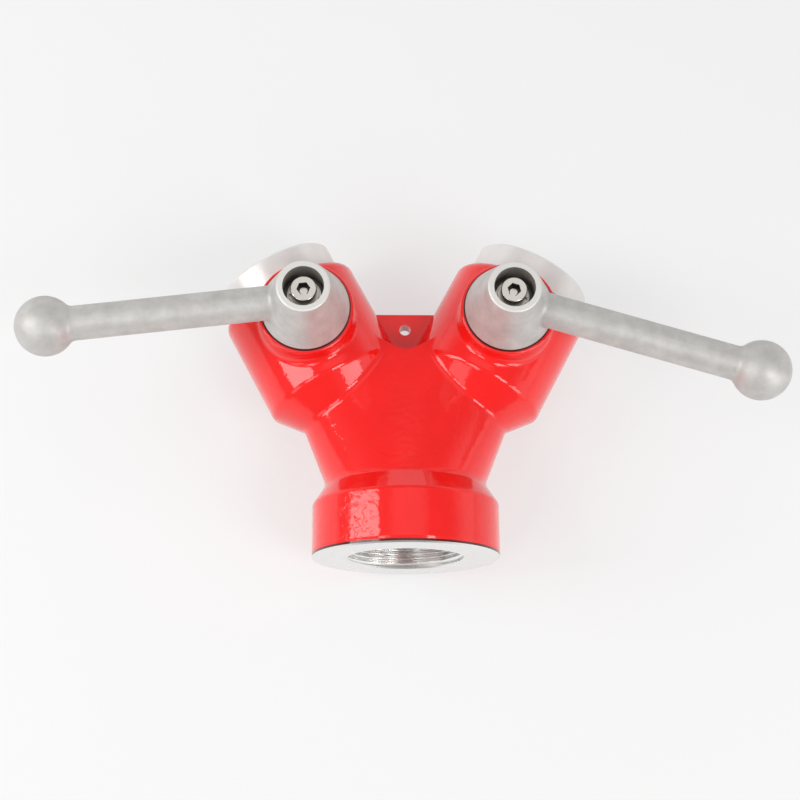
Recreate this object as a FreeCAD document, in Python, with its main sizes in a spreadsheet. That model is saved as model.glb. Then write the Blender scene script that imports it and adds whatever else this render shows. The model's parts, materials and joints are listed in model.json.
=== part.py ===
import FreeCAD, Part
import math
import os
import re
import Sketcher

# Three-way water divider: a cast wye with one threaded inlet and two ball-valve legs.
# The inlet face is the origin, +Y runs from the inlet to the outlets and +Z along the valve stems.

# Driving sizes, in millimetres and degrees
SIZES = {
    # Inlet collar
    "inlet_thread_radius": 29.8,
    "inlet_thread_depth": 20.5,
    "inlet_lead": 0.8,
    "inlet_shoulder": 4.8,
    "inlet_passage_length": 24,
    "inlet_gasket_thickness": 3.5,
    "collar_wall": 18.7,
    "collar_length": 27.5,
    "collar_round": 3,
    "face_edge": 0.8,
    "bevel_depth": 7,
    "bevel_run": 10.5,
    "waist_round": 6,
    # Trunk and web between the legs
    "trunk_spread": 29.6,
    "trunk_wall": 6.2,
    "trunk_overrun": 8.5,
    "valley_drop": 15.4,
    "valley_angle": 60,
    "valley_round": 9,
    "cast_round": 4,
    "web_rise": 10.6,
    "web_thickness": 10,
    "web_hole_radius": 3,
    "web_hole_drop": 8.5,
    # Legs and ball housings
    "leg_angle": 28,
    "wye_height": 23.3,
    "leg_reach": 110,
    "port_radius": 18.5,
    "branch_wall": 2.7,
    "branch_lap": 6,
    "neck_run": 8,
    "cone_run": 20,
    "chamber_gap": 1,
    "housing_wall": 10.3,
    "back_wall": 11.5,
    "end_land": 4.5,
    "corner_round": 5,
    "shoulder_round": 5.5,
    "boss_rise": 8.7,
    "boss_margin": 1.7,
    "boss_land": 0.7,
    "boss_round": 1,
    "boss_blend": 4.5,
    # Ball and seats
    "ball_wall": 7.5,
    "ball_gap": 0.3,
    "seat_width": 4.8,
    "seat_land": 1.4,
    "seat_depth": 7.5,
    "seat_bore_gap": 0.2,
    "seat_fit": 0.1,
    # Outlet adapter
    "spigot_step": 1.5,
    "spigot_fit": 0.1,
    "spigot_relief": 1,
    "spigot_seal_radius": 1,
    "seal_room": 0.2,
    "adapter_web": 3,
    "outlet_shoulder": 5.4,
    "outlet_wall": 7.6,
    "outlet_thread_depth": 13,
    "outlet_lead": 0.8,
    "outlet_edge": 1.2,
    "outlet_gasket_thickness": 3,
    "gasket_step": 0.8,
    "gasket_fit": 0.2,
    # Stem
    "stem_radius": 8,
    "stem_fit": 0.05,
    "stem_corner": 0.22,
    "stem_setback": 0.5,
    "stem_collar_step": 2.5,
    "stem_collar_height": 3,
    "stem_pocket_fit": 0.2,
    "stem_seal_radius": 0.9,
    "stem_seal_start": 4,
    "stem_seal_pitch": 5,
    "thrust_washer_thickness": 1.5,
    "slot_width": 8,
    "slot_depth": 4.5,
    "tang_fit": 0.1,
    "tang_gap": 1.5,
    # Handle
    "hub_gap": 0.3,
    "hub_height": 32.2,
    "hub_floor": 16.7,
    "hub_rim": 3,
    "hub_flare": 9.6,
    "hub_round": 1.2,
    "square_fit": 0.1,
    "counterbore_room": 1.7,
    "rod_radius": 8.65,
    "rod_height": 12.7,
    "handle_length": 128.5,
    "knob_radius": 15,
    "knob_blend": 4,
    "rod_blend": 2.5,
    "left_turn": 21.4,
    "right_turn": 11.6,
    # Stop pin and its track in the boss
    "pin_radius": 2.5,
    "pin_edge": 5.8,
    "pin_grip": 6,
    "pin_reach": 3.5,
    "pin_fit": 0.02,
    "track_room": 0.3,
    "quarter_turn": 90,
    # Handle screw and washers
    "screw_radius": 4,
    "screw_length": 20,
    "screw_fit": 0.05,
    "tap_room": 2,
    "head_step": 2.5,
    "head_height": 8,
    "head_round": 0.6,
    "socket_across": 6,
    "socket_depth": 4,
    "washer_step": 2,
    "washer_bore_gap": 0.2,
    "flat_washer_thickness": 1.6,
    "spring_washer_step": 0.9,
    "spring_washer_thickness": 2,
    "spring_washer_split": 1.6,
}

# Values worked out from the driving sizes
WORKED = {
    "collar_radius": "inlet_thread_radius + collar_wall",
    "inlet_port_radius": "inlet_thread_radius - inlet_shoulder",
    "inlet_seat_radius": "inlet_thread_radius - gasket_step",
    "inlet_floor": "inlet_thread_depth + inlet_gasket_thickness",
    "passage_end": "inlet_floor + inlet_passage_length",
    "waist_radius": "collar_radius - bevel_depth",
    "waist_height": "collar_length + bevel_run",
    "valley_height": "leg_y - valley_drop",
    "trunk_end": "valley_height + trunk_overrun",
    "trunk_half_width": "waist_radius + trunk_spread",
    "trunk_half_depth": "port_radius + trunk_wall",
    "valley_apex": "valley_height - valley_round * (1 / sin(valley_angle) - 1)",
    "valley_top": "trunk_end + trunk_overrun",
    "valley_half_width": "(valley_top - valley_apex) * tan(valley_angle)",
    "leg_x": "leg_reach * sin(leg_angle)",
    "leg_y": "wye_height + leg_reach * cos(leg_angle)",
    "web_top": "leg_y + web_rise",
    "ball_radius": "port_radius + ball_wall",
    "ball_sweep": "ball_radius + ball_gap",
    "chamber_radius": "ball_radius + chamber_gap",
    "housing_radius": "chamber_radius + housing_wall",
    "seat_inner": "port_radius + seat_bore_gap",
    "seat_outer": "seat_inner + seat_width",
    "seat_pocket": "seat_outer + seat_fit",
    "seat_front": "sqrt(ball_sweep ^ 2 - seat_outer ^ 2) + seat_land",
    "seat_back": "seat_front + seat_depth",
    "housing_back": "-seat_back - back_wall",
    "housing_end": "max(seat_back + end_land, boss_radius + boss_land)",
    "branch_foot": "branch_lap - leg_reach",
    "neck_radius": "port_radius + branch_wall",
    "cone_start": "housing_back - cone_run",
    "neck_foot": "cone_start - neck_run",
    "spigot_bore": "chamber_radius + spigot_step",
    "spigot_radius": "spigot_bore - spigot_fit",
    "spigot_groove": "spigot_bore - 2 * spigot_seal_radius",
    "spigot_seal_level": "(seat_front + housing_end) / 2",
    "spigot_seal_low": "spigot_seal_level - spigot_seal_radius - seal_room",
    "spigot_seal_high": "spigot_seal_level + spigot_seal_radius + seal_room",
    "outlet_thread_radius": "port_radius + outlet_shoulder",
    "outlet_radius": "outlet_thread_radius + outlet_wall",
    "outlet_floor": "seat_back + adapter_web",
    "outlet_seat_radius": "outlet_thread_radius - gasket_step",
    "outlet_seat_level": "outlet_floor + outlet_gasket_thickness",
    "outlet_face": "outlet_seat_level + outlet_thread_depth",
    "boss_top": "housing_radius + boss_rise",
    "boss_radius": "hub_base_radius + boss_margin",
    "stem_bore": "stem_radius + stem_fit",
    "stem_collar_radius": "stem_radius + stem_collar_step",
    "stem_collar_bottom": "ball_radius + tang_gap",
    "stem_collar_top": "stem_collar_bottom + stem_collar_height",
    "stem_pocket_radius": "stem_collar_radius + stem_pocket_fit",
    "stem_pocket_top": "stem_collar_top + thrust_washer_thickness",
    "stem_groove_radius": "stem_radius - 2 * stem_seal_radius",
    "stem_groove_half": "stem_seal_radius + seal_room",
    "lower_seal_level": "stem_pocket_top + stem_seal_start",
    "upper_seal_level": "lower_seal_level + stem_seal_pitch",
    "stem_top": "hub_seat - stem_setback",
    "square_across": "sqrt(2) * (stem_radius - stem_corner)",
    "tang_bottom": "ball_radius - slot_depth + tang_fit",
    "hub_base": "boss_top + hub_gap",
    "hub_seat": "hub_base + hub_floor",
    "hub_top": "hub_base + hub_height",
    "hub_top_radius": "counterbore_radius + hub_rim",
    "hub_base_radius": "hub_top_radius + hub_flare",
    "counterbore_radius": "washer_radius + counterbore_room",
    "rod_level": "hub_base + rod_height",
    "rod_start": "counterbore_radius + hub_rim / 2",
    "pin_circle": "hub_base_radius - pin_edge",
    "pin_tip": "boss_top - pin_reach",
    "track_half": "pin_radius + track_room",
    "track_floor": "pin_tip - track_room",
    "track_angle": "quarter_turn + 2 * 180 / pi * track_half / pin_circle",
    "head_radius": "screw_radius + head_step",
    "washer_radius": "head_radius + washer_step",
    "washer_bore": "screw_radius + washer_bore_gap",
    "spring_washer_radius": "head_radius + spring_washer_step",
    "spring_washer_base": "hub_seat + flat_washer_thickness",
    "head_base": "spring_washer_base + spring_washer_thickness",
    "head_top": "head_base + head_height",
    "screw_tip": "head_base - screw_length",
    "tap_floor": "screw_tip - tap_room",
    "socket_corner": "socket_across / sqrt(3)",
}

SIDES = {"left": -1, "right": 1}
SQUARE_CORNERS = ((-1, -1), (1, -1), (1, 1), (-1, 1))
HEX_ANGLES = range(0, 360, 60)
NEAR = 1e-4
SHARP = math.radians(5)
ROUND_SHARES = (1, 0.6, 0.3)
TURNED_FACES = (Part.Cone, Part.Cylinder, Part.Toroid)

doc = FreeCAD.newDocument("water_divider")
sheet = doc.addObject("Spreadsheet::Sheet", "Sizes")
for row, (size_name, size) in enumerate(SIZES.items(), start=1):
    sheet.set(f"A{row}", size_name)
    sheet.set(f"B{row}", str(size))
    sheet.setAlias(f"B{row}", size_name)
doc.recompute()


def spelled(formula):
    """Point every name in a formula at the sheet or at the worked values."""

    def spell(match):
        word = match.group()
        if word in WORKED:
            return f"Worked.{word}"
        if word in SIZES:
            return f"Sizes.{word}"
        return word

    return re.sub(r"[a-z_]+", spell, formula)


worked = doc.addObject("App::VarSet", "Worked")
for worked_name in WORKED:
    worked.addProperty("App::PropertyFloat", worked_name, "Worked")
for worked_name, worked_formula in WORKED.items():
    worked.setExpression(worked_name, spelled(worked_formula))
doc.recompute()


def bind(thing, formulas):
    """Tie properties of an object to formulas of the sizes."""
    for name, formula in formulas.items():
        thing.setExpression(name, spelled(formula))


def place(thing, x, y, turn):
    """Tie the place of an object and its turn about +Z to formulas."""
    bind(thing, {"Placement.Base.x": x, "Placement.Base.y": y, "Placement.Rotation.Angle": turn})


def on_leg(thing, side):
    """Put a piece that lies along +Y on the axis of one leg."""
    place(thing, f"{side} * leg_x", "leg_y", f"{-side} * leg_angle")


def on_stem(thing, side):
    """Put a piece that stands on +Z, its handle along +X, on the axis of one stem."""
    turn = "right_turn - leg_angle" if side > 0 else "180 + leg_angle - left_turn"
    place(thing, f"{side} * leg_x", "leg_y", turn)


def new_body(name):
    """Start a sub-part."""
    body = doc.addObject("PartDesign::Body", name)
    body.Label = name
    return body


def new_sketch(body, name, plane):
    """Start a sketch on one of the body's own origin planes."""
    sketch = body.newObject("Sketcher::SketchObject", name)
    origin_plane = next(o for o in body.Origin.OriginFeatures if o.Role == plane)
    sketch.AttachmentSupport = (origin_plane, [""])
    sketch.MapMode = "FlatFace"
    return sketch


def set_size(sketch, constraint, formula):
    """Add a constraint whose size follows a formula."""
    index = sketch.addConstraint(constraint)
    sketch.setExpression(f"Constraints[{index}]", spelled(formula))


def fix_point(sketch, geometry, end, across, up):
    """Hold one point of a sketch at two formulas."""
    set_size(sketch, Sketcher.Constraint("DistanceX", -1, 1, geometry, end, 1.0), across)
    set_size(sketch, Sketcher.Constraint("DistanceY", -1, 1, geometry, end, 1.0), up)


def draw_outline(sketch, corners):
    """Draw a closed outline through corners given as pairs of formulas."""
    count = len(corners)
    angles = [math.tau * i / count for i in range(count)]
    rough = [FreeCAD.Vector(math.cos(angle), math.sin(angle), 0) for angle in angles]
    lines = [sketch.addGeometry(Part.LineSegment(rough[i - 1], rough[i]), False) for i in range(count)]
    for i, (across, up) in enumerate(corners):
        sketch.addConstraint(Sketcher.Constraint("Coincident", lines[i], 2, lines[(i + 1) % count], 1))
        fix_point(sketch, lines[i], 2, across, up)
    return lines


def round_corner(sketch, line, radius):
    """Round the corner at the end of one line of a solved outline."""
    sketch.fillet(line, 2, 1.0, True, True)
    arc = sketch.GeometryCount - 2
    set_size(sketch, Sketcher.Constraint("Radius", arc, 1.0), radius)


def draw_circle(sketch, radius, across="0", up="0"):
    """Draw a circle of a given radius."""
    rough = Part.Circle(FreeCAD.Vector(1, 1, 0), FreeCAD.Vector(0, 0, 1), 1)
    circle = sketch.addGeometry(rough, False)
    set_size(sketch, Sketcher.Constraint("Radius", circle, 1.0), radius)
    fix_point(sketch, circle, 3, across, up)


def draw_oval(sketch, half_width, half_height):
    """Draw an ellipse about the origin, given by worked values."""
    rough = Part.Ellipse(FreeCAD.Vector(0, 0, 0), getattr(worked, half_width), getattr(worked, half_height))
    oval = sketch.addGeometry(rough, False)
    sketch.exposeInternalGeometry(oval)
    long_axis = oval + 1
    short_axis = oval + 2
    sketch.addConstraint(Sketcher.Constraint("Coincident", oval, 3, -1, 1))
    sketch.addConstraint(Sketcher.Constraint("Horizontal", long_axis))
    set_size(sketch, Sketcher.Constraint("Distance", long_axis, 1.0), f"2 * {half_width}")
    set_size(sketch, Sketcher.Constraint("Distance", short_axis, 1.0), f"2 * {half_height}")


def box_corners(half_x, half_y):
    """Give the corners of a rectangle about the origin."""
    return [(f"{i} * ({half_x})", f"{j} * ({half_y})") for i, j in SQUARE_CORNERS]


def turn_section(body, name, sketch, kind="Revolution", axis="V_Axis"):
    """Turn a sketch about one of its axes, as metal or as a groove."""
    turning = body.newObject(f"PartDesign::{kind}", name)
    turning.Profile = sketch
    turning.ReferenceAxis = (sketch, [axis])
    turning.Angle = 360
    body.Tip = turning
    return turning


def turn_outline(body, name, plane, corners):
    """Turn an outline of (radius, level) corners: about +Z on the XZ plane, about +Y on the YZ plane."""
    sketch = new_sketch(body, f"{name}_section", plane)
    if plane == "XZ_Plane":
        draw_outline(sketch, corners)
        return turn_section(body, name, sketch)
    draw_outline(sketch, [(level, radius) for radius, level in corners])
    return turn_section(body, name, sketch, axis="H_Axis")


def turned_part(name, plane, corners):
    """Make a sub-part that is turned from one outline."""
    body = new_body(name)
    turn_outline(body, f"{name}_turning", plane, corners)
    return body


def push_sketch(body, name, sketch, level, length, kind="Pad"):
    """Push a sketch of the XY plane up from a level as metal, or down from it as a pocket."""
    bind(sketch, {"AttachmentOffset.Base.z": level})
    push = body.newObject(f"PartDesign::{kind}", name)
    push.Profile = sketch
    bind(push, {"Length": length})
    body.Tip = push
    return push


def push_outline(body, name, corners, level, length, kind="Pad"):
    """Push an outline, as metal or as a pocket."""
    sketch = new_sketch(body, f"{name}_section", "XY_Plane")
    draw_outline(sketch, corners)
    return push_sketch(body, name, sketch, level, length, kind)


def push_circle(body, name, circle, level, length, kind="Pad"):
    """Push a circle, as metal or as a pocket."""
    sketch = new_sketch(body, f"{name}_section", "XY_Plane")
    draw_circle(sketch, *circle)
    return push_sketch(body, name, sketch, level, length, kind)


def edges_of(body, curve_type, wanted):
    """Name the edges of a body's last feature that have a curve type and pass a test."""
    doc.recompute()
    edges = {f"Edge{i}": edge for i, edge in enumerate(body.Tip.Shape.Edges, start=1) if not edge.Degenerated}
    return [name for name, edge in edges.items() if isinstance(edge.Curve, curve_type) and wanted(edge)]


def rim_at(radius, level, along):
    """Test for a circular edge of a radius whose centre stands at a level along an axis."""

    def wanted(edge):
        circle = edge.Curve
        return abs(circle.Radius - radius) < NEAR and abs(getattr(circle.Center, along) - level) < NEAR

    return wanted


def is_sharp(faces, edge):
    """Tell whether two faces meet at an angle halfway along their edge."""
    point = edge.valueAt((edge.FirstParameter + edge.LastParameter) / 2)
    first, second = [face.normalAt(*face.Surface.parameter(point)) for face in faces]
    return first.getAngle(second) > SHARP


def lies_flat(face):
    """Tell whether a turned face has its axis in the XY plane, as the legs have."""
    return abs(face.Surface.Axis.z) < NEAR


def junctions_of(body, level):
    """Name the sharp edges beyond a level along +Y where the trunk's skin meets a leg's turned face."""
    doc.recompute()
    shape = body.Tip.Shape
    names = []
    for i, edge in enumerate(shape.Edges, start=1):
        faces = shape.ancestorsOfType(edge, Part.Face)
        skins = [face for face in faces if isinstance(face.Surface, Part.BSplineSurface)]
        turned = [face for face in faces if isinstance(face.Surface, TURNED_FACES) and lies_flat(face)]
        if len(skins) == len(turned) == 1 and edge.CenterOfMass.y > level and is_sharp(faces, edge):
            names.append(f"Edge{i}")
    return names


def round_edges(body, name, edges, radius):
    """Round edges of a body's last feature: a share of the radius where all won't fit, sharp where none will."""
    base = body.Tip
    fillet = body.newObject("PartDesign::Fillet", name)
    fillet.Base = (base, edges)
    body.Tip = fillet
    for share in ROUND_SHARES:
        bind(fillet, {"Radius": f"{share} * {radius}"})
        doc.recompute()
        if fillet.isValid() and fillet.Shape.isValid():
            return
    body.removeObject(fillet)
    doc.removeObject(name)
    body.Tip = base


# Casting: collar, trunk, two legs with stem bosses, and the web between the legs
def make_leg(name, side):
    """Make one leg, turned with its seam below: neck, cone, rounded ball housing and stem boss."""
    leg = new_body(name)
    section = new_sketch(leg, f"{name}_section", "YZ_Plane")
    lines = draw_outline(section, [
        ("neck_foot", "0"), ("neck_foot", "-neck_radius"), ("cone_start", "-neck_radius"),
        ("housing_back", "-housing_radius"), ("housing_end", "-housing_radius"), ("housing_end", "0")])
    doc.recompute()
    corner, shoulder = lines[3:5]
    round_corner(section, corner, "corner_round")
    round_corner(section, shoulder, "shoulder_round")
    turn_section(leg, f"{name}_turning", section, axis="H_Axis")
    push_circle(leg, f"{name}_boss", ("boss_radius",), "0", "boss_top")
    foot = edges_of(leg, Part.BSplineCurve, lambda edge: edge.CenterOfMass.z > 0)
    round_edges(leg, f"{name}_boss_foot", foot, "boss_blend")
    boss_rim = rim_at(worked.boss_radius, worked.boss_top, "z")
    round_edges(leg, f"{name}_boss_rim", edges_of(leg, Part.Circle, boss_rim), "boss_round")
    on_leg(leg, side)
    return leg


def make_trunk(casting):
    """Make the inlet collar, the waist and the oval trunk with the valley between the legs."""
    turn_outline(casting, "collar", "YZ_Plane", [
        ("0", "0"), ("collar_radius - face_edge", "0"), ("collar_radius", "face_edge"),
        ("collar_radius", "collar_length"), ("waist_radius", "waist_height"), ("0", "waist_height")])
    bevel_rim = rim_at(worked.collar_radius, sheet.collar_length, "y")
    round_edges(casting, "collar_rounding", edges_of(casting, Part.Circle, bevel_rim), "collar_round")
    foot = new_sketch(casting, "trunk_foot", "XZ_Plane")
    draw_circle(foot, "waist_radius")
    bind(foot, {"AttachmentOffset.Base.z": "-waist_height"})
    head = new_sketch(casting, "trunk_head", "XZ_Plane")
    draw_oval(head, "trunk_half_width", "trunk_half_depth")
    bind(head, {"AttachmentOffset.Base.z": "-trunk_end"})
    loft = casting.newObject("PartDesign::AdditiveLoft", "trunk_loft")
    loft.Profile = foot
    loft.Sections = [(head, [""])]
    loft.Ruled = True
    casting.Tip = loft
    waist = rim_at(worked.waist_radius, worked.waist_height, "y")
    round_edges(casting, "waist_rounding", edges_of(casting, Part.Circle, waist), "waist_round")
    push_outline(casting, "valley", [
        ("0", "valley_apex"), ("valley_half_width", "valley_top"), ("-valley_half_width", "valley_top")],
        "waist_radius", "2 * waist_radius", "Pocket")
    middle = edges_of(casting, Part.Line, lambda edge: all(abs(end.X) < NEAR for end in edge.Vertexes))
    round_edges(casting, "valley_rounding", middle, "valley_round")


def make_web(casting):
    """Make the thin web between the legs, with its hanging hole."""
    push_outline(casting, "web_plate", [
        ("0", "waist_height"), ("leg_x", "web_top"), ("-leg_x", "web_top")],
        "-web_thickness / 2", "web_thickness")
    push_circle(casting, "web_hole", ("web_hole_radius", "0", "web_top - web_hole_drop"),
                "web_thickness / 2", "web_thickness", "Pocket")


def make_casting():
    """Join the trunk, the legs and the web, with cast rounds where they meet."""
    legs = [make_leg(f"{name}_leg", side) for name, side in SIDES.items()]
    casting = new_body("casting")
    make_trunk(casting)
    join = casting.newObject("PartDesign::Boolean", "leg_join")
    join.setObjects(legs)
    casting.Tip = join
    round_edges(casting, "cast_rounding", junctions_of(casting, worked.waist_height), "cast_round")
    make_web(casting)
    return casting


def make_passages():
    """Make the hollows of the casting: inlet, branches, ball chambers, stem bores and pin tracks."""
    passages = [turned_part("inlet_passage", "YZ_Plane", [
        ("0", "0"), ("inlet_thread_radius + inlet_lead", "0"), ("inlet_thread_radius", "inlet_lead"),
        ("inlet_thread_radius", "inlet_thread_depth"), ("inlet_seat_radius", "inlet_thread_depth"),
        ("inlet_seat_radius", "inlet_floor"), ("inlet_port_radius", "inlet_floor"),
        ("inlet_port_radius", "passage_end"), ("0", "passage_end")])]
    for name, side in SIDES.items():
        branch = turned_part(f"{name}_branch_passage", "YZ_Plane", [
            ("0", "branch_foot"), ("port_radius", "branch_foot"), ("port_radius", "-seat_back"),
            ("seat_pocket", "-seat_back"), ("seat_pocket", "-seat_front"), ("chamber_radius", "-seat_front"),
            ("chamber_radius", "seat_front - spigot_relief"), ("spigot_bore", "seat_front - spigot_relief"),
            ("spigot_bore", "housing_end"), ("0", "housing_end")])
        on_leg(branch, side)
        stem_hole = turned_part(f"{name}_stem_passage", "XZ_Plane", [
            ("0", "0"), ("stem_pocket_radius", "0"), ("stem_pocket_radius", "stem_pocket_top"),
            ("stem_bore", "stem_pocket_top"), ("stem_bore", "boss_top"), ("0", "boss_top")])
        on_leg(stem_hole, side)
        passages += [branch, stem_hole, make_pin_track(name, side)]
    return passages


def make_pin_track(name, side):
    """Make the arc in the boss that stops the pin after a quarter turn."""
    track = new_body(f"{name}_pin_track")
    sketch = new_sketch(track, f"{name}_track_section", "XZ_Plane")
    draw_outline(sketch, [
        ("pin_circle - track_half", "track_floor"), ("pin_circle + track_half", "track_floor"),
        ("pin_circle + track_half", "boss_top"), ("pin_circle - track_half", "boss_top")])
    sweep = turn_section(track, f"{name}_track_sweep", sketch)
    sweep.Midplane = True
    bind(sweep, {"Angle": "track_angle"})
    middle = "180 + quarter_turn / 2 - leg_angle" if side > 0 else "leg_angle - quarter_turn / 2"
    place(track, f"{side} * leg_x", "leg_y", middle)
    return track


def make_body():
    """Make the painted casting with its hollows."""
    passages = doc.addObject("Part::MultiFuse", "passages")
    passages.Shapes = make_passages()
    body = doc.addObject("Part::Cut", "body")
    body.Base = make_casting()
    body.Tool = passages
    return body


# Pieces along a leg
def make_gasket(name, inner, outer, low, high):
    """Make a flat rubber gasket that lies along +Y."""
    return turned_part(name, "YZ_Plane", [(inner, low), (outer, low), (outer, high), (inner, high)])


def make_adapter(name):
    """Make the bare outlet adapter, with its spigot, seal groove, seat pocket and thread bore."""
    return turned_part(name, "YZ_Plane", [
        ("seat_pocket", "seat_front"), ("spigot_radius", "seat_front"),
        ("spigot_radius", "spigot_seal_low"), ("spigot_groove", "spigot_seal_low"),
        ("spigot_groove", "spigot_seal_high"), ("spigot_radius", "spigot_seal_high"),
        ("spigot_radius", "housing_end"), ("outlet_radius", "housing_end"),
        ("outlet_radius", "outlet_face - outlet_edge"), ("outlet_radius - outlet_edge", "outlet_face"),
        ("outlet_thread_radius + outlet_lead", "outlet_face"),
        ("outlet_thread_radius", "outlet_face - outlet_lead"),
        ("outlet_thread_radius", "outlet_seat_level"), ("outlet_seat_radius", "outlet_seat_level"),
        ("outlet_seat_radius", "outlet_floor"), ("port_radius", "outlet_floor"),
        ("port_radius", "seat_back"), ("seat_pocket", "seat_back")])


def make_adapter_seal(name):
    """Make the sealing ring round the spigot."""
    seal = new_body(name)
    sketch = new_sketch(seal, f"{name}_section", "YZ_Plane")
    draw_circle(sketch, "spigot_seal_radius", "spigot_seal_level", "spigot_bore - spigot_seal_radius")
    turn_section(seal, f"{name}_turning", sketch, axis="H_Axis")
    return seal


def make_seat(name, end):
    """Make a seat ring with a spherical face, on the inlet (-1) or the outlet (1) side of the ball."""
    seat = turned_part(name, "YZ_Plane", [
        ("seat_inner", f"{end} * seat_front"), ("seat_outer", f"{end} * seat_front"),
        ("seat_outer", f"{end} * seat_back"), ("seat_inner", f"{end} * seat_back")])
    face = seat.newObject("PartDesign::SubtractiveSphere", f"{name}_face")
    bind(face, {"Radius": "ball_sweep"})
    seat.Tip = face
    return seat


# Pieces on a stem
def make_ball(name):
    """Make the ball, bored along +X, with the slot for the stem across its top."""
    ball = new_body(name)
    globe = ball.newObject("PartDesign::AdditiveSphere", f"{name}_globe")
    bind(globe, {"Radius": "ball_radius"})
    ball.Tip = globe
    sketch = new_sketch(ball, f"{name}_bore_section", "XY_Plane")
    draw_outline(sketch, [("-ball_radius", "0"), ("ball_radius", "0"),
                          ("ball_radius", "port_radius"), ("-ball_radius", "port_radius")])
    turn_section(ball, f"{name}_bore", sketch, "Groove", "H_Axis")
    push_outline(ball, f"{name}_slot", box_corners("slot_width / 2", "ball_radius"),
                 "ball_radius", "slot_depth", "Pocket")
    return ball


def make_stem(name):
    """Make the stem: tang, blow-out collar, grooved shaft, square and tapped hole."""
    stem = new_body(name)
    grooves = []
    for level in ("lower_seal_level", "upper_seal_level"):
        grooves += [("stem_radius", f"{level} - stem_groove_half"),
                    ("stem_groove_radius", f"{level} - stem_groove_half"),
                    ("stem_groove_radius", f"{level} + stem_groove_half"),
                    ("stem_radius", f"{level} + stem_groove_half")]
    turn_outline(stem, f"{name}_shaft", "XZ_Plane", [
        ("0", "stem_collar_bottom"), ("stem_collar_radius", "stem_collar_bottom"),
        ("stem_collar_radius", "stem_collar_top"), ("stem_radius", "stem_collar_top"),
        *grooves, ("stem_radius", "hub_base"), ("0", "hub_base")])
    push_outline(stem, f"{name}_tang", box_corners("slot_width / 2 - tang_fit", "stem_radius"),
                 "tang_bottom", "stem_collar_bottom - tang_bottom")
    push_outline(stem, f"{name}_square", box_corners("square_across / 2", "square_across / 2"),
                 "hub_base", "stem_top - hub_base")
    push_circle(stem, f"{name}_tapped_hole", ("screw_radius + screw_fit",), "stem_top",
                "stem_top - tap_floor", "Pocket")
    return stem


def make_stem_seals(name):
    """Make the two sealing rings of the stem."""
    rings = []
    for level in ("lower_seal_level", "upper_seal_level"):
        torus = doc.addObject("Part::Torus", f"{name}_{level}")
        bind(torus, {"Radius1": "stem_groove_radius + stem_seal_radius", "Radius2": "stem_seal_radius",
                     "Placement.Base.z": level})
        rings.append(torus)
    seals = doc.addObject("Part::Compound", name)
    seals.Links = rings
    return seals


def make_washer(name, inner, outer, low, high):
    """Make a flat ring about +Z."""
    return turned_part(name, "XZ_Plane", [(inner, low), (outer, low), (outer, high), (inner, high)])


def make_spring_washer(name):
    """Make the split spring washer."""
    washer = make_washer(name, "washer_bore", "spring_washer_radius", "spring_washer_base", "head_base")
    push_outline(washer, f"{name}_split", [
        ("0", "-spring_washer_split / 2"), ("spring_washer_radius", "-spring_washer_split / 2"),
        ("spring_washer_radius", "spring_washer_split / 2"), ("0", "spring_washer_split / 2")],
        "head_base", "spring_washer_thickness", "Pocket")
    return washer


def make_handle(name):
    """Make the cast handle: cone hub with counterbore and square, rod and ball end."""
    handle = new_body(name)
    turn_outline(handle, f"{name}_hub", "XZ_Plane", [
        ("0", "hub_base"), ("hub_base_radius", "hub_base"), ("hub_top_radius", "hub_top"),
        ("counterbore_radius", "hub_top"), ("counterbore_radius", "hub_seat"), ("0", "hub_seat")])
    for radius, level in (("hub_base_radius", "hub_base"), ("hub_top_radius", "hub_top")):
        rim = rim_at(getattr(worked, radius), getattr(worked, level), "z")
        round_edges(handle, f"{name}_{level}_round", edges_of(handle, Part.Circle, rim), "hub_round")
    rod_section = new_sketch(handle, f"{name}_rod_section", "XZ_Plane")
    draw_outline(rod_section, [("rod_start", "0"), ("handle_length", "0"),
                               ("handle_length", "rod_radius"), ("rod_start", "rod_radius")])
    bind(rod_section, {"AttachmentOffset.Base.y": "rod_level"})
    turn_section(handle, f"{name}_rod", rod_section, axis="H_Axis")
    knob = handle.newObject("PartDesign::AdditiveSphere", f"{name}_knob")
    knob.Placement = FreeCAD.Placement(FreeCAD.Vector(), FreeCAD.Rotation(FreeCAD.Vector(0, 1, 0), 90))
    bind(knob, {"Radius": "knob_radius", "Placement.Base.x": "handle_length",
                "Placement.Base.z": "rod_level"})
    handle.Tip = knob
    rod_middle = sheet.handle_length / 2
    neck = edges_of(handle, Part.BSplineCurve, lambda edge: edge.CenterOfMass.x > rod_middle)
    round_edges(handle, f"{name}_knob_blend", neck, "knob_blend")
    root = edges_of(handle, Part.BSplineCurve, lambda edge: edge.CenterOfMass.x < rod_middle)
    round_edges(handle, f"{name}_rod_blend", root, "rod_blend")
    push_outline(handle, f"{name}_square_hole",
                 box_corners("square_across / 2 + square_fit", "square_across / 2 + square_fit"),
                 "hub_seat", "hub_floor", "Pocket")
    push_circle(handle, f"{name}_pin_hole", ("pin_radius + pin_fit", "-pin_circle"),
                "hub_base + pin_grip", "pin_grip", "Pocket")
    return handle


def make_stop_pin(name):
    """Make the pin under the hub that runs in the boss's track."""
    pin = new_body(name)
    push_circle(pin, f"{name}_shank", ("pin_radius", "-pin_circle"), "pin_tip",
                "pin_reach + hub_gap + pin_grip")
    return pin


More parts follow.
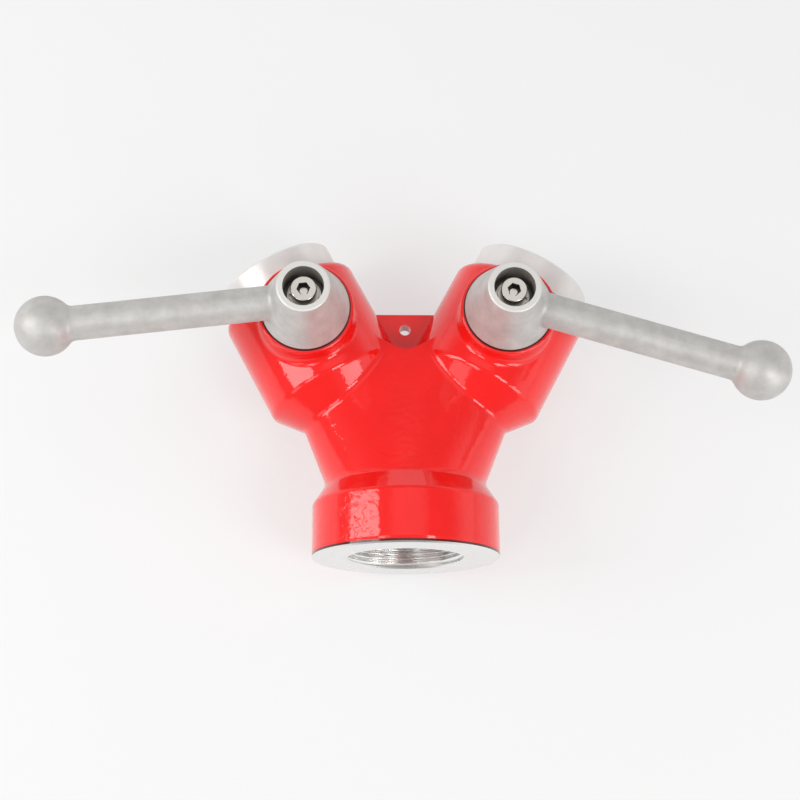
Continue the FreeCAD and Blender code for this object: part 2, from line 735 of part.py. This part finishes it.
def make_screw(name):
    """Make the socket-head screw that holds the handle on the stem."""
    screw = turned_part(name, "XZ_Plane", [
        ("0", "screw_tip"), ("screw_radius", "screw_tip"), ("screw_radius", "head_base"),
        ("head_radius", "head_base"), ("head_radius", "head_top"), ("0", "head_top")])
    doc.recompute()
    crown = rim_at(worked.head_radius, worked.head_top, "z")
    round_edges(screw, f"{name}_crown", edges_of(screw, Part.Circle, crown), "head_round")
    corners = [(f"socket_corner * cos({angle})", f"socket_corner * sin({angle})") for angle in HEX_ANGLES]
    push_outline(screw, f"{name}_socket", corners, "head_top", "socket_depth", "Pocket")
    return screw


pieces = [make_body(), make_gasket("inlet_gasket", "inlet_port_radius", "inlet_seat_radius - gasket_fit",
                                   "inlet_thread_depth", "inlet_floor")]
for side_name, side_sign in SIDES.items():
    leg_pieces = [
        make_adapter(f"{side_name}_outlet_adapter"),
        make_adapter_seal(f"{side_name}_adapter_seal"),
        make_seat(f"{side_name}_inner_seat", -1),
        make_seat(f"{side_name}_outer_seat", 1),
        make_gasket(f"{side_name}_outlet_gasket", "port_radius", "outlet_seat_radius - gasket_fit",
                    "outlet_floor", "outlet_seat_level"),
    ]
    stem_pieces = [
        make_ball(f"{side_name}_ball"),
        make_stem(f"{side_name}_stem"),
        make_stem_seals(f"{side_name}_stem_seals"),
        make_washer(f"{side_name}_thrust_washer", "stem_bore", "stem_collar_radius",
                    "stem_collar_top", "stem_pocket_top"),
        make_handle(f"{side_name}_handle"),
        make_stop_pin(f"{side_name}_stop_pin"),
        make_washer(f"{side_name}_flat_washer", "washer_bore", "washer_radius",
                    "hub_seat", "spring_washer_base"),
        make_spring_washer(f"{side_name}_spring_washer"),
        make_screw(f"{side_name}_handle_screw"),
    ]
    for piece in leg_pieces:
        on_leg(piece, side_sign)
    for piece in stem_pieces:
        on_stem(piece, side_sign)
    pieces += leg_pieces + stem_pieces

doc.recompute()
failed = [thing.Name for thing in doc.Objects if "Invalid" in thing.State or "Error" in thing.State]
failed += [piece.Label for piece in pieces if piece.Shape.isNull() or not piece.Shape.isValid()]
if failed:
    raise RuntimeError(f"These did not build: {failed}")
os.makedirs("parts", exist_ok=True)
for piece in pieces:
    piece.Shape.exportStep(f"parts/{piece.Label}.step")
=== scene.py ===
import json
import math
import bpy
from mathutils import Matrix, Vector


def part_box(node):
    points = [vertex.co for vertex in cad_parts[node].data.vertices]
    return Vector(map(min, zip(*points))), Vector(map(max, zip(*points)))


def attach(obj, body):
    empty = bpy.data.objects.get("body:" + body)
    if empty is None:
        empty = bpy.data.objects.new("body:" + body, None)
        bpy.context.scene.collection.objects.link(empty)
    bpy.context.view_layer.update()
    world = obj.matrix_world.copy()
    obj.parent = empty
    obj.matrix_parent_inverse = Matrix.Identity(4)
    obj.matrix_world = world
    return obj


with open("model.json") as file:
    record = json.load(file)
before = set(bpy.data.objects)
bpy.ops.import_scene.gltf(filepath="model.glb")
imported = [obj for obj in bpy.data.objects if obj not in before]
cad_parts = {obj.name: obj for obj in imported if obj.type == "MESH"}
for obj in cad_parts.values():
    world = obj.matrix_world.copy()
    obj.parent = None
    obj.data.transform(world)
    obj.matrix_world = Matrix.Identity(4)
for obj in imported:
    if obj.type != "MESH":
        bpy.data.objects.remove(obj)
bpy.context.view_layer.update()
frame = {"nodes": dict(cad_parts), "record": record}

MM = 0.001
nodes = frame["nodes"]
scene = bpy.context.scene
scene.view_settings.view_transform = "Standard"

# The legs: the sign of X on each side, and the angle from +Y to a leg's axis
SIDES = {"left": -1, "right": 1}
LEG_ANGLE = math.radians(28)

# Sizes shared with the solids, in millimetres
LEG_CENTRE = Vector((51.64187, 120.42424, 0))
THREAD_PITCH = 2.309
THREAD_DEPTH = 1.479
INLET_THREAD_RADIUS = 29.8
INLET_SPAN = (1.0, 20.3)
OUTLET_THREAD_RADIUS = 23.9
OUTLET_SPAN = (26.9, 38.7)
COLLAR_RADIUS = 48.5
HOUSING_RADIUS = 37.3
COLLAR_LINE = 25.0
HOUSING_LINE = 137.0
BOSS_TOP = 46.0
HUB_BASE_RADIUS = 22.8

# Where the paint stops, where painted shade darkens it at the collar's edge and under each hub, and where it
# has run, in millimetres
BARE_FACE_END = 0.75
EDGE_SHADE_END = 1.9
LIP_END = 3.3
BOSS_FACE_START = BOSS_TOP - 0.05
BOSS_SHADE_END = HUB_BASE_RADIUS + 0.3
FACE_OUTSIDE = 40.0
BORE_RADIUS = 31.0
BORE_END = 24.2
RUNS_FADE = (24.0, 32.0)
RUNS_LEFT = (-37.0, -31.0)
RUNS_RIGHT = (-22.0, -16.0)

# Where the handles' casting is machined or carries painted shade in the counterbore, and the screws' sockets
# with their painted shade ring, in metres
HUB_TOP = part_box("left_handle")[1][2]
SCREW_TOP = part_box("left_handle_screw")[1][2]
WASHER_RADIUS = (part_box("left_flat_washer")[1][0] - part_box("left_flat_washer")[0][0]) / 2
COUNTERBORE_LIMIT = WASHER_RADIUS + 2.0 * MM
SOCKET_LIMIT = 3.6 * MM
SOCKET_BRIGHT = 1.9 * MM
EDGE_DEPTH = 0.4 * MM

# Colours, as pairs where a material varies between two
PAINT = ((0.84, 0.007, 0.006, 1), (0.92, 0.010, 0.008, 1))
# Painted shade: the shadow of the step at the collar's inlet edge, and the shade of the gap under each hub
PAINTED_SHADE = (0.10, 0.006, 0.004, 1)
INLET_METAL = (0.87, 0.865, 0.85, 1)
TURNED_METAL = ((0.76, 0.75, 0.73, 1), (0.88, 0.87, 0.85, 1))
THREAD_METAL = ((0.88, 0.875, 0.86, 1), (0.94, 0.935, 0.92, 1))
SCREW_METAL = ((0.74, 0.70, 0.64, 1), (0.84, 0.80, 0.74, 1))
# Painted shade for the sunk walls of the screw sockets
SOCKET_PAINTED_SHADE = (0.10, 0.09, 0.08, 1)
CAST_METAL = ((0.49, 0.474, 0.454, 1), (0.60, 0.584, 0.562, 1))
CAST_MACHINED = (0.75, 0.73, 0.70, 1)
# Painted shade for the counterbore walls of the handle hubs
CAST_SHADE = (0.24, 0.225, 0.205, 1)
STAINLESS = ((0.78, 0.74, 0.68, 1), (0.86, 0.82, 0.76, 1))
PLATING = ((0.74, 0.74, 0.75, 1), (0.8, 0.8, 0.81, 1))
POLYMER = ((0.82, 0.82, 0.80, 1), (0.88, 0.88, 0.86, 1))
RUBBER = ((0.018, 0.018, 0.018, 1), (0.035, 0.035, 0.035, 1))
FLOOR_MATT = (0.86, 0.86, 0.86, 1)
FLOOR_GLOW = (0.92, 0.92, 0.92, 1)
WHITE = (1, 1, 1, 1)

# The span that most noise falls in, and the tool lines of turned metal in radians per metre
NOISE_SPAN = (0.3, 0.7)
TOOL_LINES = math.tau / (0.45 * MM)
TOOL_DEPTH = 0.01 * MM


class Graph:
    """A shader node tree under construction."""

    def __init__(self, owner, output, coordinates):
        owner.use_nodes = True
        self.owner = owner
        self.tree = owner.node_tree
        self.tree.nodes.clear()
        self.out = self.add(output)
        self.place = self.add("ShaderNodeTexCoord").outputs[coordinates]

    def add(self, kind, **settings):
        node = self.tree.nodes.new(kind)
        for name, value in settings.items():
            setattr(node, name, value)
        return node

    def feed(self, socket, value):
        if isinstance(value, bpy.types.NodeSocket):
            self.tree.links.new(value, socket)
        elif value is not None:
            socket.default_value = value

    def axes(self):
        node = self.add("ShaderNodeSeparateXYZ")
        self.feed(node.inputs[0], self.place)
        return node.outputs

    def principled(self, **sockets):
        shader = self.add("ShaderNodeBsdfPrincipled")
        for name, value in sockets.items():
            self.feed(shader.inputs[name.replace("_", " ")], value)
        return shader

    def mix(self, factor, first, second):
        node = self.add("ShaderNodeMixShader")
        self.feed(node.inputs[0], factor)
        self.feed(node.inputs[1], first.outputs[0])
        self.feed(node.inputs[2], second.outputs[0])
        return node

    def math(self, operation, first, second=None, third=None):
        node = self.add("ShaderNodeMath", operation=operation)
        for socket, value in zip(node.inputs, (first, second, third)):
            self.feed(socket, value)
        return node.outputs[0]

    def length(self, first, second):
        squares = [self.math("MULTIPLY", value, value) for value in (first, second)]
        return self.math("SQRT", self.math("ADD", *squares))

    def stem_radius(self, x, y):
        across = self.math("SUBTRACT", self.math("ABSOLUTE", x), LEG_CENTRE.x * MM)
        return self.length(across, self.math("SUBTRACT", y, LEG_CENTRE.y * MM))

    def noise(self, scale, detail=4.0, roughness=0.55):
        node = self.add("ShaderNodeTexNoise")
        self.feed(node.inputs["Vector"], self.place)
        self.feed(node.inputs["Scale"], scale)
        self.feed(node.inputs["Detail"], detail)
        self.feed(node.inputs["Roughness"], roughness)
        return node.outputs["Fac"]

    def spread(self, value, old, new, kind="LINEAR"):
        node = self.add("ShaderNodeMapRange", interpolation_type=kind)
        self.feed(node.inputs["Value"], value)
        for name, number in zip(("From Min", "From Max", "To Min", "To Max"), (*old, *new)):
            self.feed(node.inputs[name], number)
        return node.outputs["Result"]

    def blend(self, factor, first, second):
        node = self.add("ShaderNodeMix", data_type="RGBA")
        for index, value in ((0, factor), (6, first), (7, second)):
            self.feed(node.inputs[index], value)
        return node.outputs[2]

    def bump(self, height, distance, strength=1.0, normal=None):
        node = self.add("ShaderNodeBump")
        sockets = {"Height": height, "Distance": distance, "Strength": strength, "Normal": normal}
        for name, value in sockets.items():
            self.feed(node.inputs[name], value)
        return node.outputs["Normal"]

    def done(self, shader):
        self.feed(self.out.inputs["Surface"], shader.outputs[0])
        return self.owner


def material_graph(name):
    """Start a material that is laid out in the part's own frame."""
    return Graph(bpy.data.materials.new(name), "ShaderNodeOutputMaterial", "Object")


def in_metres(limits):
    """Give a pair of limits in metres."""
    return [limit * MM for limit in limits]


def red_paint():
    """Gloss red paint, run on the collar, with painted shade at the collar's inlet edge and on the boss top
    under each hub, and bare metal at the inlet.
    """
    graph = material_graph("red_paint")
    x, y, z = graph.axes()
    radius = graph.length(x, z)
    outside = graph.math("GREATER_THAN", radius, FACE_OUTSIDE * MM)

    colour = graph.blend(graph.spread(graph.noise(35, 3), NOISE_SPAN, (0, 1)), *PAINT)
    # Painted shade: a dark band at the collar's inlet edge stands in for the shadow of the step there
    edge_painted_shade = graph.math("MULTIPLY", graph.math("LESS_THAN", y, EDGE_SHADE_END * MM), outside)
    # Painted shade: a dark ring on the boss top stands in for the shade of the gap under the hub
    under_hub = graph.math("LESS_THAN", graph.stem_radius(x, y), BOSS_SHADE_END * MM)
    boss_painted_shade = graph.math("MULTIPLY", graph.math("GREATER_THAN", z, BOSS_FACE_START * MM), under_hub)
    colour = graph.blend(graph.math("MAXIMUM", edge_painted_shade, boss_painted_shade), colour, PAINTED_SHADE)

    peel = graph.bump(graph.noise(330, 2, 0.4), 0.2 * MM, 0.5)
    wave = graph.bump(graph.noise(60, 2), 0.5 * MM, 0.3, peel)
    patch = graph.spread(graph.noise(45, 1), (0.40, 0.54), (0, 1))
    for value, limits, ends in ((y, RUNS_FADE, (1, 0)), (x, RUNS_LEFT, (0, 1)), (x, RUNS_RIGHT, (1, 0))):
        patch = graph.math("MULTIPLY", patch, graph.spread(value, in_metres(limits), ends))
    run = graph.math("ABSOLUTE", graph.math("SUBTRACT", graph.noise(240, 1), 0.5))
    ridge = graph.math("MULTIPLY", graph.spread(run, (0.0, 0.035), (1, 0)), patch)
    runs = graph.bump(ridge, 0.12 * MM, 0.6, wave)
    lip = graph.math("MULTIPLY", graph.spread(y, in_metres((EDGE_SHADE_END, LIP_END)), (0, 1)), outside)
    skin = graph.bump(lip, 0.3 * MM, 1.0, runs)
    paint = graph.principled(Base_Color=colour, Roughness=0.35, Specular_IOR_Level=0.1, Coat_Weight=1.0,
                             Coat_Roughness=0.06, Normal=skin, Coat_Normal=skin)

    rings = graph.math("SINE", graph.math("MULTIPLY", radius, TOOL_LINES))
    rough = graph.spread(graph.noise(90), NOISE_SPAN, (0.24, 0.36))
    metal = graph.principled(Base_Color=INLET_METAL, Metallic=1.0, Roughness=rough,
                             Normal=graph.bump(rings, TOOL_DEPTH, 0.4))
    near = graph.math("LESS_THAN", radius, BORE_RADIUS * MM)
    in_bore = graph.math("MULTIPLY", near, graph.math("LESS_THAN", y, BORE_END * MM))
    bare = graph.math("MAXIMUM", graph.math("LESS_THAN", y, BARE_FACE_END * MM), in_bore)
    return graph.done(graph.mix(bare, paint, metal))


def turned_metal():
    """Turned aluminium with fine tool lines about each leg's axis."""
    graph = material_graph("machined_aluminium")
    x, y, _ = graph.axes()
    reach = graph.math("MULTIPLY_ADD", graph.math("ABSOLUTE", x), math.sin(LEG_ANGLE),
                       graph.math("MULTIPLY", y, math.cos(LEG_ANGLE)))
    lines = graph.math("SINE", graph.math("MULTIPLY", reach, TOOL_LINES))
    colour = graph.blend(graph.noise(120), *TURNED_METAL)
    rough = graph.spread(graph.noise(220), NOISE_SPAN, (0.32, 0.44))
    return graph.done(graph.principled(Base_Color=colour, Metallic=0.35, Roughness=rough,
                                       Normal=graph.bump(lines, TOOL_DEPTH, 0.4)))


def screw_metal():
    """Stainless screw with a painted shade ring inside its socket."""
    graph = material_graph("screw_metal")
    x, y, z = graph.axes()
    radius = graph.stem_radius(x, y)
    # Painted shade: a dark ring on the socket's sunk walls stands in for their shade
    sunk = graph.math("LESS_THAN", z, SCREW_TOP - EDGE_DEPTH)
    ring = graph.math("MULTIPLY", graph.math("LESS_THAN", radius, SOCKET_LIMIT),
                      graph.math("GREATER_THAN", radius, SOCKET_BRIGHT))
    colour = graph.blend(graph.noise(120), *SCREW_METAL)
    colour = graph.blend(graph.math("MULTIPLY", sunk, ring), colour, SOCKET_PAINTED_SHADE)
    rough = graph.spread(graph.noise(220), NOISE_SPAN, (0.16, 0.26))
    return graph.done(graph.principled(Base_Color=colour, Metallic=1.0, Roughness=rough))


def cast_metal():
    """Tumbled matt casting with fine pits and a mottled tone, machined on top, with painted shade in the
    counterbore.
    """
    graph = material_graph("cast_aluminium")
    x, y, z = graph.axes()
    colour = graph.blend(graph.spread(graph.noise(120, 8, 0.65), (0.34, 0.66), (0, 1)), *CAST_METAL)
    machined = graph.math("GREATER_THAN", z, HUB_TOP - EDGE_DEPTH)
    colour = graph.blend(machined, colour, CAST_MACHINED)
    # Painted shade darkens the counterbore's sunk walls
    inside = graph.math("LESS_THAN", graph.stem_radius(x, y), COUNTERBORE_LIMIT)
    sunk = graph.math("LESS_THAN", z, HUB_TOP - EDGE_DEPTH)
    colour = graph.blend(graph.math("MULTIPLY", inside, sunk), colour, CAST_SHADE)
    rough = graph.spread(graph.noise(300), NOISE_SPAN, (0.44, 0.56))
    fine = graph.bump(graph.noise(1300, 4), 0.08 * MM, 0.5)
    pits = graph.bump(graph.noise(260, 3), 0.2 * MM, 0.3, fine)
    return graph.done(graph.principled(Base_Color=colour, Metallic=0.35, Roughness=rough, Normal=pits))


def plain_stuff(name, colours, roughness, grain, metallic=0.0, relief=0.4):
    """A plain material with a fine grain."""
    graph = material_graph(name)
    colour = graph.blend(graph.noise(grain), *colours)
    rough = graph.spread(graph.noise(grain * 2), NOISE_SPAN, (roughness * 0.85, roughness * 1.15))
    skin = graph.bump(graph.noise(grain * 6, 2), 0.04 * MM, relief)
    return graph.done(graph.principled(Base_Color=colour, Metallic=metallic, Roughness=rough, Normal=skin))


materials = {
    "red_paint": red_paint(),
    "machined_aluminium": turned_metal(),
    "thread_metal": plain_stuff("thread_metal", THREAD_METAL, 0.24, 120, metallic=1.0, relief=0.05),
    "cast_aluminium": cast_metal(),
    "screw_metal": screw_metal(),
    "stainless": plain_stuff("stainless", STAINLESS, 0.34, 120, metallic=0.85),
    "ball_plating": plain_stuff("ball_plating", PLATING, 0.1, 150, metallic=1.0),
    "seat_polymer": plain_stuff("seat_polymer", POLYMER, 0.4, 200),
    "seal_rubber": plain_stuff("seal_rubber", RUBBER, 0.6, 240),
}


def dress(obj, name):
    """Give an object one material."""
    obj.data.materials.clear()
    obj.data.materials.append(materials[name])


for subpart in frame["record"]["subparts"]:
    dress(nodes[subpart["node"]], subpart["material_slot"])
for side_name in SIDES:
    dress(nodes[f"{side_name}_handle_screw"], "screw_metal")

# Internal pipe threads, as helical ridges standing in from the bore walls
SEGMENTS = 90
RUNOUT = SEGMENTS / 4
THREAD_START = math.pi

# One ridge's section, as shares of the pitch and of the depth
PROFILE = ((-0.47, -0.08), (-0.47, 0.0), (-0.14, 0.86), (0.0, 1.0), (0.14, 0.86), (0.47, 0.0), (0.47, -0.08))


def thread_ridge(name, radius, span, placement):
    """Make one helical ridge about +Y between two levels."""
    low, high = span
    turns = (high - low) / THREAD_PITCH - 1
    count = int(turns * SEGMENTS)
    verts = []
    for step in range(count + 1):
        angle = THREAD_START + math.tau * step / SEGMENTS
        level = low + THREAD_PITCH * (0.5 + step / SEGMENTS)
        full = min(1, step / RUNOUT, (count - step) / RUNOUT)
        for along, rise in PROFILE:
            r = radius - rise * THREAD_DEPTH * (full if rise > 0 else 1)
            point = Vector((r * math.cos(angle), level + along * THREAD_PITCH, r * math.sin(angle)))
            verts.append(placement @ point * MM)
    width = len(PROFILE)
    faces = []
    for start in range(0, count * width, width):
        for i in range(width):
            j = (i + 1) % width
            faces.append((start + i, start + j, start + width + j, start + width + i))
    faces.append(tuple(reversed(range(width))))
    faces.append(tuple(range(count * width, (count + 1) * width)))
    mesh = bpy.data.meshes.new(name)
    mesh.from_pydata(verts, [], faces)
    mesh.validate()
    mesh.update()
    for polygon in mesh.polygons:
        polygon.use_smooth = True
    ridge = bpy.data.objects.new(name, mesh)
    scene.collection.objects.link(ridge)
    dress(ridge, "thread_metal")
    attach(ridge, "divider_body")


def on_leg(side):
    """Give the placement of one leg, in millimetres."""
    centre = Vector((side * LEG_CENTRE.x, LEG_CENTRE.y, 0))
    return Matrix.Translation(centre) @ Matrix.Rotation(-side * LEG_ANGLE, 4, "Z")


thread_ridge("inlet_thread_ridge", INLET_THREAD_RADIUS, INLET_SPAN, Matrix.Identity(4))
for side_name, side_sign in SIDES.items():
    thread_ridge(f"{side_name}_outlet_thread_ridge", OUTLET_THREAD_RADIUS, OUTLET_SPAN, on_leg(side_sign))

# Floor, tilted to touch the collar and the two housings
FLOOR_HALF = 12.0
FLOOR_SHOW = 0.64


def pale_floor():
    """Matt pale floor, evened out to the camera and in gloss, that keeps the object's shadow."""
    graph = material_graph("floor")
    matt = graph.add("ShaderNodeBsdfDiffuse")
    graph.feed(matt.inputs["Color"], FLOOR_MATT)
    glow = graph.add("ShaderNodeEmission")
    graph.feed(glow.inputs["Color"], FLOOR_GLOW)
    path = graph.add("ShaderNodeLightPath")
    seen = graph.math("MAXIMUM", path.outputs["Is Camera Ray"], path.outputs["Is Glossy Ray"])
    return graph.done(graph.mix(graph.math("MULTIPLY", seen, FLOOR_SHOW), matt, glow))


floor_mesh = bpy.data.meshes.new("floor")
corners = [(x * FLOOR_HALF, y * FLOOR_HALF, 0) for x, y in ((-1, -1), (1, -1), (1, 1), (-1, 1))]
floor_mesh.from_pydata(corners, [], [(0, 1, 2, 3)])
floor_mesh.materials.append(pale_floor())
floor = bpy.data.objects.new("floor", floor_mesh)
floor.location = (0, COLLAR_LINE * MM, -COLLAR_RADIUS * MM)
floor.rotation_euler = (math.atan2(COLLAR_RADIUS - HOUSING_RADIUS, HOUSING_LINE - COLLAR_LINE), 0, 0)
scene.collection.objects.link(floor)

# Light of the room: its levels, and the directions over which each patch of light fades
ROOM_LEVEL = 0.33
BACKDROP_LEVEL = 0.75
BACKDROP_HEIGHT = (0.2, 0.62)
BACKDROP_BEHIND = (0.2, 0.8)
BACKDROP_RIGHT = (0.3, 0.8)
CEILING_LEVEL = 0.5
CEILING_TOWARDS = (0.03, 0.27, 0.96)
CEILING_EDGE = (0.88, 0.98)


def studio_world():
    """Dim room with a light backdrop low behind and right of the object and a soft ceiling patch above it."""
    graph = Graph(bpy.data.worlds.new("studio"), "ShaderNodeOutputWorld", "Generated")
    x, y, z = graph.axes()
    low = graph.spread(z, BACKDROP_HEIGHT, (BACKDROP_LEVEL, 0), "SMOOTHSTEP")
    behind = graph.spread(y, BACKDROP_BEHIND, (0, 1), "SMOOTHSTEP")
    right = graph.spread(x, BACKDROP_RIGHT, (0, 1), "SMOOTHSTEP")
    backdrop = graph.math("MULTIPLY_ADD", low, graph.math("MAXIMUM", behind, right), ROOM_LEVEL)
    facing = graph.add("ShaderNodeVectorMath", operation="DOT_PRODUCT")
    graph.feed(facing.inputs[0], graph.place)
    graph.feed(facing.inputs[1], CEILING_TOWARDS)
    ceiling = graph.spread(facing.outputs["Value"], CEILING_EDGE, (0, CEILING_LEVEL), "SMOOTHSTEP")
    sky = graph.add("ShaderNodeBackground")
    graph.feed(sky.inputs["Color"], WHITE)
    graph.feed(sky.inputs["Strength"], graph.math("ADD", backdrop, ceiling))
    return graph.done(sky)


# Lamps, in metres and watts
AIM = Vector((0, 0.09, 0))


def lamp(name, place, size, power):
    """Add a soft rectangular lamp that faces the object."""
    data = bpy.data.lights.new(name, "AREA")
    data.shape = "RECTANGLE"
    data.size, data.size_y = size
    data.energy = power
    obj = bpy.data.objects.new(name, data)
    obj.location = place
    obj.rotation_euler = (AIM - obj.location).to_track_quat("-Z", "Y").to_euler()
    scene.collection.objects.link(obj)


scene.world = studio_world()
lamp("left_box", place=(-0.86, 0.06, 0.66), size=(0.42, 0.75), power=5.0)
lamp("front_right_box", place=(0.78, -0.49, 0.39), size=(0.45, 0.36), power=1.9)
lamp("front_left_box", place=(-0.78, -0.49, 0.39), size=(0.45, 0.36), power=0.8)
lamp("top_right_box", place=(0.50, -0.42, 0.90), size=(0.40, 0.40), power=3.3)
lamp("top_left_box", place=(-0.50, -0.42, 0.90), size=(0.40, 0.40), power=1.9)

# Camera, placed in millimetres
CAMERA_PLACE = Vector((-23.12, -133.1, 764.85))
ELEVATION = math.radians(74.01)
YAW = math.radians(5.35)
ROLL = math.radians(5.31)
LENS = 67.5
SENSOR = 36
level_forward = Vector((math.sin(YAW), math.cos(YAW), 0))
forward = level_forward * math.cos(ELEVATION) - Vector((0, 0, math.sin(ELEVATION)))
across = Vector((math.cos(YAW), -math.sin(YAW), 0))
above = across.cross(forward)
image_right = math.cos(ROLL) * across + math.sin(ROLL) * above
image_up = math.cos(ROLL) * above - math.sin(ROLL) * across
camera_data = bpy.data.cameras.new("camera")
camera_data.sensor_fit = "HORIZONTAL"
camera_data.sensor_width = SENSOR
camera_data.lens = LENS
camera = bpy.data.objects.new("camera", camera_data)
turn = Matrix((image_right, image_up, -forward)).transposed().to_4x4()
camera.matrix_world = Matrix.Translation(CAMERA_PLACE * MM) @ turn
scene.collection.objects.link(camera)
scene.camera = camera
